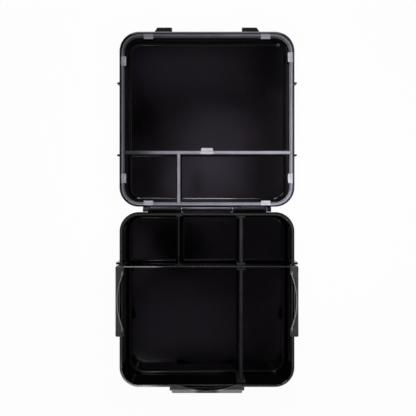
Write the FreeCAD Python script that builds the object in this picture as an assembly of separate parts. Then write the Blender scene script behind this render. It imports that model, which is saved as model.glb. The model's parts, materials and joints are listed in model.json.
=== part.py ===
import FreeCAD, Part
import math
import os

from FreeCAD import Vector

# A square lunch box with a hinged lid, three swing latches, a lid gasket and two loose dividers.
# Millimetres. Z = 0 is the table, +Y points to the hinge, +X to the right, and the origin is
# under the middle of the base. Everything is modelled closed, and the lid is then laid open.

# Closed box
box_width = 215.0             # side to side across the rim
box_depth = 215.0             # hinge side to front across the rim
corner_radius = 24.0          # rim corners seen from above
mating_height = 46.0          # table to the plane where base and lid meet
lid_height = 20.0             # mating plane to the top of the lid
mating_gap = 0.3              # base flange to lid skirt
rim_chamfer = 0.4             # along the edges of flange and upstand, and over the partitions

# Base moulding
floor_thickness = 2.4
foot_height = 1.2
foot_width = 3.0
foot_inset = 12.0             # foot ring inside the rim outline
tub_foot_inset = 2.9          # outer wall inside the rim outline, down at the foot
tub_foot_round = 6.0          # rounding between outer wall and underside
flange_overhang = 1.3         # flange beyond the outer wall, just under the flange
flange_thickness = 3.0
upstand_inset = 2.1           # upstand's outer face inside the rim outline
upstand_thickness = 1.8
upstand_height = 3.5          # above the mating plane
inner_draft = 1.0             # how far a compartment's walls close in by the floor
floor_fillet = 3.5

# Fixed partitions of the base, and the lid ribs that meet them
partition_thickness = 1.5
cross_partition_y = 40.5      # full width, parts the front from the rear
rear_partition_x = -35.0      # parts the rear section
partition_corner = 4.0        # plan radius where a partition meets a wall

# Loose dividers
divider_x = 42.0
divider_thickness = 3.9       # at the top edge
divider_taper = 0.5           # thinner by this much on each face at the foot
divider_height = 41.4         # from the floor of the compartment
divider_end_width = 10.5      # flared ends that lie against the walls
divider_end_thickness = 2.2
divider_round = 0.4           # along the top edges
divider_clearance = 0.3

# Lid moulding
lid_top_thickness = 2.0
skirt_thickness = 1.5
ledge_height = 11.5           # mating plane to the ledge that the latches hold
ledge_width = 7.6
ledge_round = 1.5
panel_wall = 1.7              # wall between the ledge and the raised panel
panel_draft = 0.6
panel_round = 4.0
recess_round = 3.0
rib_inset = 2.8               # rib's outer face inside the rim outline
rib_thickness = 1.6
lid_boss_length = 21.5
lid_boss_projection = 5.4
lid_boss_height = 9.0
lid_boss_slope = 3.7          # how far the boss's outer end leans back
lid_rib_projection = 3.0
lid_rib_thickness = 2.4
lid_boss_round = 0.8          # outer edges of bosses and side ribs

# Gasket
seal_width = 4.0
seal_cap = 1.5                # over the end of the rib
seal_leg = 2.6                # down each side of the rib
seal_slot_clearance = 0.05
seal_face_gap = 0.3           # gasket to upstand before the latches squeeze it
tab_length = 12.0
tab_projection = 2.5
tab_thickness = 1.6
tab_from_side = 35.0          # middle of a tab from the neighbouring side of the box
cross_tab_length = 16.6
cross_tab_tip = 13.6

# Hinge
hinge_offset = 3.3            # axis behind the rear faces, and in the mating plane
knuckle_radius = 3.0
slim_barrel_radius = 2.0
slim_arm_set_back = 4.3       # top of a slim barrel's arm below the mating plane
hinge_pin_radius = 1.25
hinge_arm_drop = 13.0         # how far a knuckle's arm runs down its wall
hinge_side_gap = 0.5          # between neighbouring knuckles
lid_knuckle_half = 31.1       # half length of the lid's middle knuckle
inner_cheek_width = 3.2
outer_cheek_inner_x = 69.6
outer_cheek_width = 3.5
lid_end_knuckle_width = 4.9

# Latches
latch_length = 85.2
latch_side_gap = 0.4          # latch to the ears at its ends
latch_wall_gap = 0.4          # latch plate to the lid's skirt
latch_plate = 2.4
lip_thickness = 2.5
lip_reach = 9.9               # plate's outer face to the lip's tip
lip_gap = 0.3                 # lip above the lid's ledge
latch_corner = 2.0
lip_corner = 1.6              # plan radius at the ends of the lip's tip
lip_round = 1.2               # along the top edges
lip_lead_width = 2.7          # lead-in that slopes down to the lip's tip
lip_lead_drop = 1.3
notch_half_length = 36.5
notch_wall = 2.6              # what the finger notch leaves in the middle
notch_blend_radius = 12.0     # reversed arcs at the ends of the notch
pivot_height = 18.0
pivot_out = 2.7               # pivot beyond the rim outline
latch_barrel_radius = 2.2
latch_flare_height = 9.0      # where the plate starts to swell towards its barrel
latch_pin_radius = 1.0
ear_thickness = 2.8
ear_projection = 4.2
ear_boss_radius = 2.6
ear_foot_drop = 7.0           # pivot to the ear's lowest point on the wall
bead_radius = 0.7
bead_length = 5.0
bead_from_tip = 1.6
bead_from_end = 2.0
bead_clearance = 0.3

pin_clearance = 0.06          # running fit, on the radius
pin_end_inset = 0.3
pin_chamfer = 0.3
sink = 1.0                    # how far a boss, arm or ear runs into the wall that carries it

half_width = box_width / 2
half_depth = box_depth / 2
flange_top = mating_height - mating_gap / 2
flange_bottom = flange_top - flange_thickness
upstand_top = mating_height + upstand_height
floor_top = foot_height + floor_thickness
inner_inset = upstand_inset + upstand_thickness
skirt_bottom = mating_height + mating_gap / 2
ledge_top = mating_height + ledge_height
lid_top = mating_height + lid_height
seal_face = upstand_top + seal_face_gap
rib_end = seal_face + seal_cap
seal_top = rib_end + seal_leg
seal_inset = rib_inset + rib_thickness / 2 - seal_width / 2
seal_inner_inset = seal_inset + seal_width
hinge_y = half_depth + hinge_offset
latch_outer = latch_wall_gap + latch_plate
lip_bottom = ledge_top + lip_gap
lip_top = lip_bottom + lip_thickness
lip_tip = latch_outer - lip_reach
ear_inner_x = latch_length / 2 + latch_side_gap
bead_out = lip_tip + bead_from_tip


def rounded_rectangle(x0, x1, y0, y1, radii, z):
    """Closed wire at height z. radii: front left, front right, rear right, rear left."""
    corners = [(x0, y0, 1, 1), (x1, y0, -1, 1), (x1, y1, -1, -1), (x0, y1, 1, -1)]
    arcs = []
    for (x, y, sx, sy), r in zip(corners, radii):
        along_y = Vector(x, y + sy * r, z)
        along_x = Vector(x + sx * r, y, z)
        back = r * (1 - math.sqrt(0.5))
        middle = Vector(x + sx * back, y + sy * back, z)
        turn = [along_y, middle, along_x] if sx * sy > 0 else [along_x, middle, along_y]
        arcs.append(turn)
    edges = []
    for turn, following in zip(arcs, arcs[1:] + arcs[:1]):
        if (turn[0] - turn[2]).Length > 0:
            edges.append(Part.Arc(*turn).toShape())
        edges.append(Part.LineSegment(turn[2], following[0]).toShape())
    return Part.Wire(edges)


def outline(inset, z):
    """The rim outline moved inwards by inset."""
    x = half_width - inset
    y = half_depth - inset
    return rounded_rectangle(-x, x, -y, y, [corner_radius - inset] * 4, z)


def prism(wire, z):
    """Upright solid from a flat wire up to height z."""
    return Part.Face(wire).extrude(Vector(0, 0, z - wire.BoundBox.ZMin))


def drafted(lower_wire, upper_wire):
    """Solid with straight sloping walls between two flat wires."""
    return Part.makeLoft([lower_wire, upper_wire], True, True)


def ring(outer_inset, inner_inset, z0, z1):
    """Wall that follows the rim outline between two insets."""
    return prism(outline(outer_inset, z0), z1).cut(prism(outline(inner_inset, z0), z1))


def block(x0, x1, y0, y1, z0, z1):
    return Part.makeBox(x1 - x0, y1 - y0, z1 - z0, Vector(x0, y0, z0))


def edges_at_height(shape, z):
    """Edges that lie flat at height z."""
    box_of = [(edge, edge.BoundBox) for edge in shape.Edges]
    return [edge for edge, box in box_of if abs(box.ZMin - z) < 0.001 and abs(box.ZMax - z) < 0.001]


def upright_edges(shape, y):
    """Straight edges along Z in the plane at y."""
    box_of = [(edge, edge.BoundBox) for edge in shape.Edges]
    upright = [(edge, box) for edge, box in box_of if box.XLength + box.YLength < 0.001]
    return [edge for edge, box in upright if abs(box.YMin - y) < 0.001]


def rod(x0, x1, y, z, radius):
    """Cylinder along X."""
    return Part.makeCylinder(radius, x1 - x0, Vector(x0, y, z), Vector(1, 0, 0))


def pin(half_length, y, z, radius):
    """Steel pin along X with chamfered ends."""
    solid = rod(-half_length, half_length, y, z, radius)
    rims = [edge for edge in solid.Edges if edge.BoundBox.XLength < 0.001]
    return solid.makeChamfer(pin_chamfer, rims)


def side_plate(points, x0, x1):
    """Flat plate from x0 to x1 with its outline given as (y, z) points."""
    corners = [Vector(x0, y, z) for y, z in points]
    return Part.Face(Part.makePolygon(corners + corners[:1])).extrude(Vector(x1 - x0, 0, 0))


def tangent_point(centre, radius, point, side):
    """Where the line from a point touches a circle in the YZ plane. side: 1 or -1."""
    dy = point[0] - centre[0]
    dz = point[1] - centre[1]
    angle = math.atan2(dz, dy) + side * math.acos(radius / math.hypot(dy, dz))
    return (centre[0] + radius * math.cos(angle), centre[1] + radius * math.sin(angle))


def fused(solids):
    return solids[0].multiFuse(solids[1:]).removeSplitter()


def at_each_latch(shape):
    """Copies of a shape made for a latch whose rim is the plane Y = 0 and whose outside is -Y."""
    places = {"front": (0, 0, -half_depth), "left": (-90, -half_width, 0), "right": (90, half_width, 0)}
    copies = {}
    for name, (angle, x, y) in places.items():
        copy = shape.copy()
        copy.rotate(Vector(0, 0, 0), Vector(0, 0, 1), angle)
        copy.translate(Vector(x, y, 0))
        copies[name] = copy
    return copies


def sections(wall_inset, half_partition):
    """The three sections of box or lid: bounds, and which corners touch the outer corners."""
    x = half_width - wall_inset
    y = half_depth - wall_inset
    rear = cross_partition_y + half_partition
    return {
        "front": ((-x, x, -y, cross_partition_y - half_partition), (1, 1, 0, 0)),
        "rear_left": ((-x, rear_partition_x - half_partition, rear, y), (0, 0, 0, 1)),
        "rear_right": ((rear_partition_x + half_partition, x, rear, y), (0, 0, 1, 0)),
    }


def compartment(name, clearance):
    """Hollow of one base section, with draft, rounded corners and a filleted floor."""
    (x0, x1, y0, y1), outer = sections(inner_inset, partition_thickness / 2)[name]
    outer_radius = corner_radius - inner_inset
    wires = []
    for z, close in ((floor_top + clearance, clearance + inner_draft), (upstand_top, clearance)):
        radii = [(outer_radius if touch else partition_corner + inner_draft) - close for touch in outer]
        wires.append(rounded_rectangle(x0 + close, x1 - close, y0 + close, y1 - close, radii, z))
    hollow = drafted(*wires)
    return hollow.makeFillet(floor_fillet - clearance, edges_at_height(hollow, floor_top + clearance))


def latch_ear_pair():
    """Two gusset ears with a boss for the latch pin, either side of a latch."""
    pivot = (-pivot_out, pivot_height)
    wall_y = tub_foot_inset + sink / 2
    top_corner = (-ear_projection, flange_top)
    foot = (wall_y, pivot_height - ear_foot_drop)
    outer = min(tangent_point(pivot, ear_boss_radius, top_corner, side) for side in (1, -1))
    lower = tangent_point(pivot, ear_boss_radius, foot, -1)
    points = [(wall_y, flange_top), top_corner, outer, pivot, lower, foot]
    ears = []
    for x0 in (ear_inner_x, -ear_inner_x - ear_thickness):
        x1 = x0 + ear_thickness
        plate = side_plate(points, x0, x1)
        ears += [plate, rod(x0, x1, *pivot, ear_boss_radius)]
    return fused(ears)


def hinge_knuckle(x0, x1, radius, arm, set_back):
    """Barrel on the hinge axis with an arm to its wall. arm: -1 to the base, 1 to the lid."""
    axis = (hinge_y, mating_height)
    wall_y = half_depth - sink
    face = mating_height + arm * (mating_gap / 2 + set_back)
    far = (wall_y, mating_height + arm * hinge_arm_drop)
    touch = tangent_point(axis, radius, far, -arm)
    near = (hinge_y - set_back / 2, mating_height + arm * (mating_gap / 2))
    plate = side_plate([(wall_y, face), near, axis, touch, far], x0, x1)
    return plate.fuse(rod(x0, x1, *axis, radius))


def base_hinge_barrels():
    """Left and right barrel of the base: a slim barrel between two full cheeks."""
    inner = lid_knuckle_half + hinge_side_gap
    solids = []
    for side in (-1, 1):
        spans = [
            (inner, inner + inner_cheek_width, knuckle_radius, 0),
            (inner + inner_cheek_width, outer_cheek_inner_x, slim_barrel_radius, slim_arm_set_back),
            (outer_cheek_inner_x, outer_cheek_inner_x + outer_cheek_width, knuckle_radius, 0),
        ]
        for near, far, radius, set_back in spans:
            x0, x1 = sorted((side * near, side * far))
            solids.append(hinge_knuckle(x0, x1, radius, -1, set_back))
    return solids


def lid_hinge_knuckles():
    """Middle knuckle and the two end knuckles of the lid."""
    start = outer_cheek_inner_x + outer_cheek_width + hinge_side_gap
    stop = start + lid_end_knuckle_width
    spans = [(-lid_knuckle_half, lid_knuckle_half), (start, stop), (-stop, -start)]
    return [hinge_knuckle(x0, x1, knuckle_radius, 1, 0) for x0, x1 in spans]


def hinge_bore():
    return rod(-half_width, half_width, hinge_y, mating_height, hinge_pin_radius + pin_clearance)


def base_body():
    """Tub, flange, upstand, partitions, foot ring, latch ears and hinge barrels in one moulding."""
    wall = drafted(outline(tub_foot_inset, foot_height), outline(flange_overhang, flange_bottom))
    wall = wall.makeFillet(tub_foot_round, edges_at_height(wall, foot_height))
    flange = prism(outline(0, flange_bottom), flange_top)
    rims = edges_at_height(flange, flange_bottom) + edges_at_height(flange, flange_top)
    flange = flange.makeChamfer(rim_chamfer, rims)
    upstand = prism(outline(upstand_inset, flange_bottom), upstand_top)
    tub = fused([wall, flange, upstand])
    for name in sections(inner_inset, 0):
        tub = tub.cut(compartment(name, 0))
    tub = tub.makeChamfer(rim_chamfer, edges_at_height(tub, upstand_top))
    foot = ring(foot_inset, foot_inset + foot_width, 0, foot_height + sink)
    ears = list(at_each_latch(latch_ear_pair()).values())
    body = fused([tub, foot] + ears + base_hinge_barrels())
    bores = [hinge_bore()] + list(at_each_latch(latch_pin_bore()).values())
    return body.cut(Part.makeCompound(bores))


def latch_pin_bore():
    reach = ear_inner_x + ear_thickness + sink
    return rod(-reach, reach, -pivot_out, pivot_height, latch_pin_radius + pin_clearance)


def notch_cutter():
    """Plan shape of the finger notch: one wide arc between two reversed arcs, cut through the lip."""
    depth = lip_reach - notch_wall
    a = notch_half_length
    main_radius = (a * a + depth * depth) / (2 * depth) - notch_blend_radius
    share = notch_blend_radius / (notch_blend_radius + main_radius)
    tip_y = -lip_tip
    z = lip_bottom - lip_thickness

    def blend_middle(side):
        turn = math.atan2(a, main_radius + notch_blend_radius - depth) / 2
        x = a - notch_blend_radius * math.sin(turn)
        return Vector(side * x, tip_y - notch_blend_radius * (1 - math.cos(turn)), z)

    left_end = Vector(-a, tip_y, z)
    left_turn = Vector(-a + a * share, tip_y - depth * share, z)
    bottom = Vector(0, tip_y - depth, z)
    right_turn = Vector(a - a * share, tip_y - depth * share, z)
    right_end = Vector(a, tip_y, z)
    beyond = tip_y + lip_thickness
    edges = [
        Part.Arc(left_end, blend_middle(-1), left_turn).toShape(),
        Part.Arc(left_turn, bottom, right_turn).toShape(),
        Part.Arc(right_turn, blend_middle(1), right_end).toShape(),
        Part.LineSegment(right_end, Vector(a, beyond, z)).toShape(),
        Part.LineSegment(Vector(a, beyond, z), Vector(-a, beyond, z)).toShape(),
        Part.LineSegment(Vector(-a, beyond, z), left_end).toShape(),
    ]
    return prism(Part.Wire(edges), lip_top + lip_thickness)


def lip_lead():
    """Wedge that the sloping lead-in takes off the lip's tip."""
    near = (-lip_tip - 2 * lip_lead_width, lip_top + lip_lead_drop)
    far = (-lip_tip + lip_lead_width, lip_top - 2 * lip_lead_drop)
    return side_plate([near, far, (far[0], near[1])], -latch_length, latch_length)


def snap_beads(radius, spare):
    """Two short rounds along X under the lip's tip, one near each end of the latch."""
    far = latch_length / 2 - bead_from_end
    spans = [(far - bead_length, far), (-far, bead_length - far)]
    return [rod(x0 - spare, x1 + spare, -bead_out, lip_bottom, radius) for x0, x1 in spans]


def latch():
    """One latch: lip, plate and barrel, for a rim in the plane Y = 0 with its outside at -Y."""
    half = latch_length / 2
    pivot = (-pivot_out, pivot_height)
    inner_y = -latch_wall_gap
    flare = (-latch_outer, pivot_height + latch_flare_height)
    touch = min(tangent_point(pivot, latch_barrel_radius, flare, side) for side in (1, -1))
    points = [(-lip_tip, lip_top), (-latch_outer, lip_top), flare, touch, pivot]
    points += [(inner_y, pivot_height), (inner_y, lip_bottom), (-lip_tip, lip_bottom)]
    body = side_plate(points, -half, half)

    body = body.makeFillet(latch_corner, upright_edges(body, -latch_outer))
    body = body.makeFillet(lip_corner, upright_edges(body, -lip_tip))
    body = body.cut(notch_cutter())
    body = body.makeFillet(lip_round, edges_at_height(body, lip_top)).cut(lip_lead())
    barrel = rod(-half, half, *pivot, latch_barrel_radius)
    body = fused([body, barrel] + snap_beads(bead_radius, 0))
    return body.cut(latch_pin_bore())


def latch_pin():
    half = ear_inner_x + ear_thickness - pin_end_inset
    return pin(half, -pivot_out, pivot_height, latch_pin_radius)


def hinge_pin():
    half = outer_cheek_inner_x + outer_cheek_width + hinge_side_gap + lid_end_knuckle_width - pin_end_inset
    return pin(half, hinge_y, mating_height, hinge_pin_radius)


def lid_recess(name):
    """Hollow of one lid section: a wide mouth up to the ledge, then the raised panel's inside."""
    mouth_top = ledge_top - lid_top_thickness
    panel_inset = ledge_width + panel_wall
    (x0, x1, y0, y1), outer = sections(rib_inset + rib_thickness, rib_thickness / 2)[name]
    mouth_radii = [(corner_radius - rib_inset - rib_thickness) * touch for touch in outer]
    mouth = prism(rounded_rectangle(x0, x1, y0, y1, mouth_radii, mating_height), mouth_top)
    (x0, x1, y0, y1), outer = sections(panel_inset, 0)[name]
    half_rib = rib_thickness / 2
    y0, y1 = (y0, y1 - half_rib) if name == "front" else (y0 + half_rib, y1)
    x0 = x0 + half_rib if name == "rear_right" else x0
    x1 = x1 - half_rib if name == "rear_left" else x1
    radii = [corner_radius - panel_inset if touch else partition_corner for touch in outer]
    inside_top = lid_top - lid_top_thickness
    inside = prism(rounded_rectangle(x0, x1, y0, y1, radii, mating_height), inside_top)
    inside = inside.makeFillet(recess_round, edges_at_height(inside, inside_top))
    return mouth.fuse(inside)


def lid_front_bosses():
    """Blocks on the lid's front, either side of the front latch, each with a sloping outer end."""
    y = -half_depth
    solids = []
    for side in (-1, 1):
        x0 = side * ear_inner_x
        x1 = side * (ear_inner_x + lid_boss_length)
        x_lean = x1 - side * lid_boss_slope
        y_face = y - lid_boss_projection
        plan = [(x0, y + sink), (x0, y_face), (x_lean, y_face), (x1, y), (x1, y + sink)]
        corners = [Vector(px, py, skirt_bottom) for px, py in plan]
        solid = prism(Part.makePolygon(corners + corners[:1]), skirt_bottom + lid_boss_height)
        outer = [edge for edge in solid.Edges if edge.BoundBox.YMax < y_face + 0.001]
        solids.append(solid.makeFillet(lid_boss_round, outer))
    return solids


def lid_side_ribs():
    """Short upright ribs on the lid's sides that carry on the line of the base's latch ears."""
    solids = []
    rib_top = ledge_top - ledge_round
    for x0 in (ear_inner_x, -ear_inner_x - lid_rib_thickness):
        rib = block(x0, x0 + lid_rib_thickness, -lid_rib_projection, sink, skirt_bottom, rib_top)
        outer = [edge for edge in rib.Edges if edge.BoundBox.YMax < -lid_rib_projection + 0.001]
        solids.append(rib.makeFillet(lid_boss_round, outer))
    copies = at_each_latch(fused(solids))
    return [copies["left"], copies["right"]]


def lid_shell_closed():
    """Lid moulding in its closed place."""
    band = prism(outline(0, skirt_bottom), ledge_top)
    band = band.makeFillet(ledge_round, edges_at_height(band, ledge_top))
    top_inset = ledge_width + panel_draft
    panel = drafted(outline(ledge_width, ledge_top - sink), outline(top_inset, lid_top))
    panel = panel.makeFillet(panel_round, edges_at_height(panel, lid_top))
    shell = band.fuse(panel)
    for name in sections(rib_inset, 0):
        shell = shell.cut(lid_recess(name))
    shell = shell.cut(prism(outline(skirt_thickness, skirt_bottom - sink), rib_end))
    shell = shell.cut(ring(skirt_thickness, rib_inset, skirt_bottom, seal_top + seal_face_gap))
    shell = fused([shell] + lid_front_bosses() + lid_side_ribs() + lid_hinge_knuckles())
    grooves = Part.makeCompound(snap_beads(bead_radius + bead_clearance, bead_clearance))
    cutters = list(at_each_latch(grooves).values()) + [hinge_bore()]
    return shell.cut(Part.makeCompound(cutters))


def seal_tabs():
    """Pull tabs: two on each side of the gasket and a wider one in the middle of its cross strip."""
    x = half_width - seal_inner_inset
    y = half_depth - seal_inner_inset
    z1 = seal_face + tab_thickness
    half = tab_length / 2
    reach = tab_projection
    solids = []
    for side in (-1, 1):
        for other in (-1, 1):
            mid_x = other * (half_width - tab_from_side)
            mid_y = other * (half_depth - tab_from_side)
            y0, y1 = sorted((side * (y - reach), side * (y + sink)))
            x0, x1 = sorted((side * (x - reach), side * (x + sink)))
            solids.append(block(mid_x - half, mid_x + half, y0, y1, seal_face, z1))
            solids.append(block(x0, x1, mid_y - half, mid_y + half, seal_face, z1))
    edge_y = cross_partition_y - seal_width / 2
    plan = [(-cross_tab_length / 2, edge_y), (-cross_tab_tip / 2, edge_y - reach)]
    plan += [(-px, py) for px, py in reversed(plan)]
    plan += [(cross_tab_length / 2, edge_y + sink), (-cross_tab_length / 2, edge_y + sink)]
    corners = [Vector(px, py, seal_face) for px, py in plan]
    solids.append(prism(Part.makePolygon(corners + corners[:1]), z1))
    return solids


def lid_seal_closed():
    """Gasket of U section over the lid's outer rib and its two cross ribs."""
    half = seal_width / 2
    x = half_width - seal_inset - half
    y = half_depth - seal_inset - half

    def cross_strips(half, z0):
        return [
            block(-x, x, cross_partition_y - half, cross_partition_y + half, z0, seal_top),
            block(rear_partition_x - half, rear_partition_x + half, cross_partition_y, y, z0, seal_top),
        ]

    edge_strip = ring(seal_inset, seal_inner_inset, seal_face, seal_top)
    seal = fused([edge_strip] + cross_strips(half, seal_face) + seal_tabs())
    slot_inset = rib_inset - seal_slot_clearance
    slot_inner = rib_inset + rib_thickness + seal_slot_clearance
    slots = [ring(slot_inset, slot_inner, rib_end, seal_top)]
    slots += cross_strips(rib_thickness / 2 + seal_slot_clearance, rib_end)
    return seal.cut(fused(slots))


def laid_open(shape):
    """Turn a piece of the lid half a turn about the hinge."""
    turned = shape.copy()
    turned.rotate(Vector(0, hinge_y, mating_height), Vector(1, 0, 0), -180)
    return turned


def divider(name):
    """Loose divider with flared ends, trimmed to the compartment it stands in."""
    hollow = compartment(name, divider_clearance)
    box = hollow.BoundBox
    z0 = floor_top
    z1 = floor_top + divider_height
    top = divider_thickness / 2
    foot = top - divider_taper
    corners = [(-foot, z0), (foot, z0), (top, z1), (-top, z1)]
    points = [Vector(divider_x + dx, box.YMin, z) for dx, z in corners]
    web = Part.Face(Part.makePolygon(points + points[:1])).extrude(Vector(0, box.YLength, 0))
    half_end = divider_end_width / 2
    reach = divider_end_thickness + inner_draft
    x0 = divider_x - half_end
    x1 = divider_x + half_end
    ends = [
        block(x0, x1, box.YMin, box.YMin + reach, z0, z1),
        block(x0, x1, box.YMax - reach, box.YMax, z0, z1),
    ]
    solid = fused([web] + ends)
    solid = solid.makeFillet(divider_round, edges_at_height(solid, z1))
    return solid.common(hollow)


def parts():
    """Every separate piece by name, at rest: lid laid open, latches upright, dividers in."""
    pieces = {
        "base_body": base_body(),
        "hinge_pin": hinge_pin(),
        "lid_shell": laid_open(lid_shell_closed()),
        "lid_seal": laid_open(lid_seal_closed()),
        "divider_long": divider("front"),
        "divider_short": divider("rear_right"),
    }
    for name, solid in at_each_latch(latch()).items():
        pieces["latch_" + name] = solid
    for name, solid in at_each_latch(latch_pin()).items():
        pieces["latch_pin_" + name] = solid
    return pieces


os.makedirs("parts", exist_ok=True)
for node, shape in parts().items():
    shape.exportStep("parts/" + node + ".step")
    print(node, "solids", len(shape.Solids), "valid", shape.isValid(), "cm3", round(shape.Volume / 1000, 2))
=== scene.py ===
import json
import math

import bpy
import numpy as np
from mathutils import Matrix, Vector


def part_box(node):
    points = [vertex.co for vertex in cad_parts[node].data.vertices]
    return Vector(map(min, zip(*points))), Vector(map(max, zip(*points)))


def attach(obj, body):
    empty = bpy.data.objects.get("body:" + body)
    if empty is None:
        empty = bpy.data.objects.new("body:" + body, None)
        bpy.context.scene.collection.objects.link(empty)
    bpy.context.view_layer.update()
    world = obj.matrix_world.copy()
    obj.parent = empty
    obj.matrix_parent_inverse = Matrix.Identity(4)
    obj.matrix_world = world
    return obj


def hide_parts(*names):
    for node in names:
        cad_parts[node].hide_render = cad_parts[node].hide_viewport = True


# Bento box laid open: gloss black tub and lid, satin latches, loose grey dividers, soft grey gasket.
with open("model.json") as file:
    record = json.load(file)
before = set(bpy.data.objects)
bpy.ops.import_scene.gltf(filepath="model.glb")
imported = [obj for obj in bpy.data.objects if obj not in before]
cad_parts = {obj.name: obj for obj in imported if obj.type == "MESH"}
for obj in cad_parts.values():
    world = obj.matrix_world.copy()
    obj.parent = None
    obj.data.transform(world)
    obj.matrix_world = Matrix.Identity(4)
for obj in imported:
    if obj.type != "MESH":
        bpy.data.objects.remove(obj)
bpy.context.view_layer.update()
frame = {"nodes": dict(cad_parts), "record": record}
nodes = frame["nodes"]
print("frame loaded,", len(nodes), "nodes")


def addObject(name, data):
    thing = bpy.data.objects.new(name, data)
    bpy.context.scene.collection.objects.link(thing)
    return thing


# A material's or world's emptied node tree and its new output node.
def freshTree(owner, outputKind):
    owner.use_nodes = True
    tree = owner.node_tree
    tree.nodes.clear()
    return tree, tree.nodes.new(outputKind)


def newMaterial(name):
    material = bpy.data.materials.new(name)
    tree, output = freshTree(material, "ShaderNodeOutputMaterial")
    shader = tree.nodes.new("ShaderNodeBsdfPrincipled")
    tree.links.new(shader.outputs["BSDF"], output.inputs["Surface"])
    return material, tree, shader


def newGroup(name, inputs, outputs):
    group = bpy.data.node_groups.new(name, "ShaderNodeTree")
    for label, kind, value in inputs:
        socket = group.interface.new_socket(name=label, in_out="INPUT", socket_type="NodeSocket" + kind)
        if value is not None:
            socket.default_value = value
    for label, kind in outputs:
        group.interface.new_socket(name=label, in_out="OUTPUT", socket_type="NodeSocket" + kind)
    return group, group.nodes.new("NodeGroupInput"), group.nodes.new("NodeGroupOutput")


def placeGroup(tree, group, values):
    node = tree.nodes.new("ShaderNodeGroup")
    node.node_tree = group
    for label, value in values.items():
        node.inputs[label].default_value = value
    return node


# Feeds a socket a number or another node's output.
def feed(tree, socket, value):
    if isinstance(value, (int, float)):
        socket.default_value = value
    else:
        tree.links.new(value, socket)


def mathNode(tree, operation, *values):
    node = tree.nodes.new("ShaderNodeMath")
    node.operation = operation
    for socket, value in zip(node.inputs, values):
        feed(tree, socket, value)
    return node.outputs[0]


# Product of outputs and numbers.
def product(tree, *factors):
    result = factors[0]
    for factor in factors[1:]:
        result = mathNode(tree, "MULTIPLY", result, factor)
    return result


def vectorNode(tree, operation, *values):
    node = tree.nodes.new("ShaderNodeVectorMath")
    node.operation = operation
    for socket, value in zip(node.inputs, values):
        tree.links.new(value, socket)
    return node.outputs


def rangeNode(tree, value, low, high, toLow=0.0, toHigh=1.0, shape="LINEAR"):
    node = tree.nodes.new("ShaderNodeMapRange")
    node.interpolation_type = shape
    tree.links.new(value, node.inputs["Value"])
    for label, number in (("From Min", low), ("From Max", high), ("To Min", toLow), ("To Max", toHigh)):
        feed(tree, node.inputs[label], number)
    return node.outputs["Result"]


# The same with an eased start and end: 3 t^2 - 2 t^3.
def smoothRange(tree, value, low, high, toLow=0.0, toHigh=1.0):
    return rangeNode(tree, value, low, high, toLow, toHigh, "SMOOTHSTEP")


# Eased fall from 1 to 0.
def smoothFall(tree, value, low, high):
    return smoothRange(tree, value, low, high, 1.0, 0.0)


def mixColour(tree, factor, a, b):
    node = tree.nodes.new("ShaderNodeMix")
    node.data_type = "RGBA"
    feed(tree, node.inputs[0], factor)
    for socket, value in ((node.inputs[6], a), (node.inputs[7], b)):
        if isinstance(value, tuple):
            socket.default_value = (*value, 1.0)
        else:
            tree.links.new(value, socket)
    return node.outputs[2]


def noiseNode(tree, vector, scale, detail=3.0, roughness=0.5, distortion=0.0, output="Fac"):
    node = tree.nodes.new("ShaderNodeTexNoise")
    node.inputs["Detail"].default_value = detail
    node.inputs["Roughness"].default_value = roughness
    node.inputs["Distortion"].default_value = distortion
    feed(tree, node.inputs["Scale"], scale)
    tree.links.new(vector, node.inputs["Vector"])
    return node.outputs[output]


def objectPlace(tree):
    return tree.nodes.new("ShaderNodeTexCoord").outputs["Object"]


def splitPlace(tree, place):
    split = tree.nodes.new("ShaderNodeSeparateXYZ")
    tree.links.new(place, split.inputs[0])
    return split.outputs


driftShape = dict(detail=4.0, roughness=0.55, distortion=0.4, darkBelow=0.36, lightAbove=0.64)


# Faint drift in a tone: mix(dark, light, eased step of cloudy noise between two levels).
def makeColourDrift():
    group, given, result = newGroup(
        "colourDrift",
        [("Dark", "Color", (0, 0, 0, 1)), ("Light", "Color", (1, 1, 1, 1)), ("Scale", "Float", 20.0)],
        [("Color", "Color"), ("Cloud", "Float")])
    cloud = noiseNode(group, objectPlace(group), given.outputs["Scale"], driftShape["detail"],
                      driftShape["roughness"], driftShape["distortion"])
    cloud = smoothRange(group, cloud, driftShape["darkBelow"], driftShape["lightAbove"])
    colour = mixColour(group, cloud, given.outputs["Dark"], given.outputs["Light"])
    group.links.new(colour, result.inputs["Color"])
    group.links.new(cloud, result.inputs["Cloud"])
    return group


skinShape = dict(swellDetail=1.0, grainDetail=2.0)


# Moulded skin: a slow swell plus a fine grain, height = swell * noise(coarse) + grain * noise(fine).
def makeMouldSkin():
    group, given, result = newGroup(
        "mouldSkin",
        [("Swell Scale", "Float", 60.0), ("Grain Scale", "Float", 2500.0),
         ("Swell", "Float", 0.5), ("Grain", "Float", 0.5)],
        [("Height", "Float")])
    where = objectPlace(group)
    swell = noiseNode(group, where, given.outputs["Swell Scale"], skinShape["swellDetail"])
    grain = noiseNode(group, where, given.outputs["Grain Scale"], skinShape["grainDetail"])
    height = mathNode(group, "ADD", product(group, swell, given.outputs["Swell"]),
                      product(group, grain, given.outputs["Grain"]))
    group.links.new(height, result.inputs["Height"])
    return group


scuffShape = dict(
    families=((0.5, (1.0, 26.0, 1.0)), (-0.9, (30.0, 1.0, 1.0))),    # turn and stretch
    detail=3.0, distortion=0.3, hairline=0.012,      # half width of a line, as a level of noise
    cloudScale=38.0, cloudDetail=2.0, noneBelow=0.52, allAbove=0.66,
)


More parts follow.
